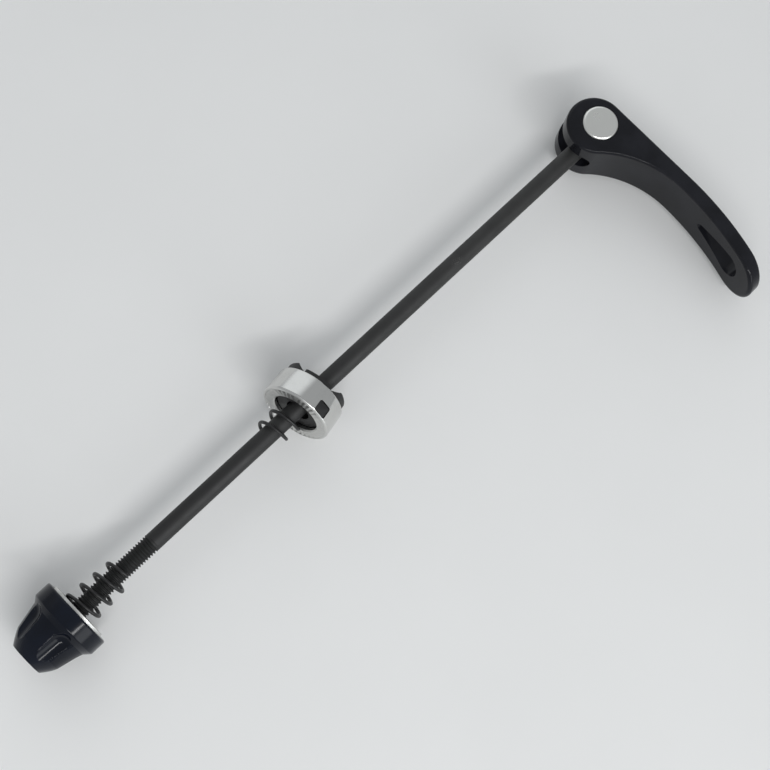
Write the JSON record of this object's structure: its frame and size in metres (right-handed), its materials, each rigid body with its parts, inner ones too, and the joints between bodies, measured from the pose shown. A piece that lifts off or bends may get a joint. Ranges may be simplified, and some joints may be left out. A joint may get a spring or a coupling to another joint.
{
  "type": "quick release skewer",
  "caption": "Wheel skewer: long threaded rod with an eccentric cam lever, a chromed cup on a sliding saddle, conical springs and a cone nut.",
  "frame": {"origin": "where the rod's axis crosses the lever's pivot axis", "axes": "+X along the rod and out through the lever's head, with the nut at -X; the closed lever points to -Y; +Z along the pivot, up as the skewer lies"},
  "size_m": [0.2094, 0.071, 0.0203],
  "materials": {
    "rod_black": "matt black oxide",
    "pin_steel": "satin nickel plate",
    "lever_black": "smooth black paint",
    "cup_chrome": "bright plate",
    "saddle_plastic": "moulded black plastic",
    "spring_black": "black spring wire",
    "nut_black": "smooth black paint",
    "ring_steel": "bright steel",
    "lock_nylon": "natural nylon"
  },
  "bodies": {
    "rod": {"rod": "rod_black", "pivot_barrel": "pin_steel"},
    "lever": {"lever": "lever_black"},
    "cup_spring": {"cup_spring": "spring_black"},
    "cup": {"cup": "cup_chrome", "cam_saddle": "saddle_plastic"},
    "nut_spring": {"nut_spring": "spring_black"},
    "nut": {"nut": "nut_black", "nut_face_ring": "ring_steel", "nut_lock_ring": "lock_nylon"}
  },
  "joints": [
    {"name": "lever_pivot", "type": "hinge", "parent": "rod", "child": "lever", "pos_m": [0, 0, 0], "axis": [0, 0, 1], "range_deg": [0, 180]},
    {"name": "cup_slide", "type": "slide", "parent": "rod", "child": "cup_spring", "axis": [1, 0, 0], "range_m": [-0.024, 0.0925]},
    {"name": "cup_lean", "type": "hinge", "parent": "cup_spring", "child": "cup", "pos_m": [-0.11055, 0, 0], "axis": [0, -0.7431, -0.6691], "range_deg": [0, 15.6]},
    {"name": "nut_travel", "type": "slide", "parent": "rod", "child": "nut_spring", "axis": [1, 0, 0], "range_m": [0, 0.02]},
    {"name": "nut_turn", "type": "hinge", "parent": "nut_spring", "child": "nut", "pos_m": [-0.194, 0, 0], "axis": [1, 0, 0], "range_deg": [0, 9000]}
  ],
  "couplings": [
    {"joint": "nut_travel", "follows": "nut_turn", "m_per_rad": 0.00012732}
  ]
}
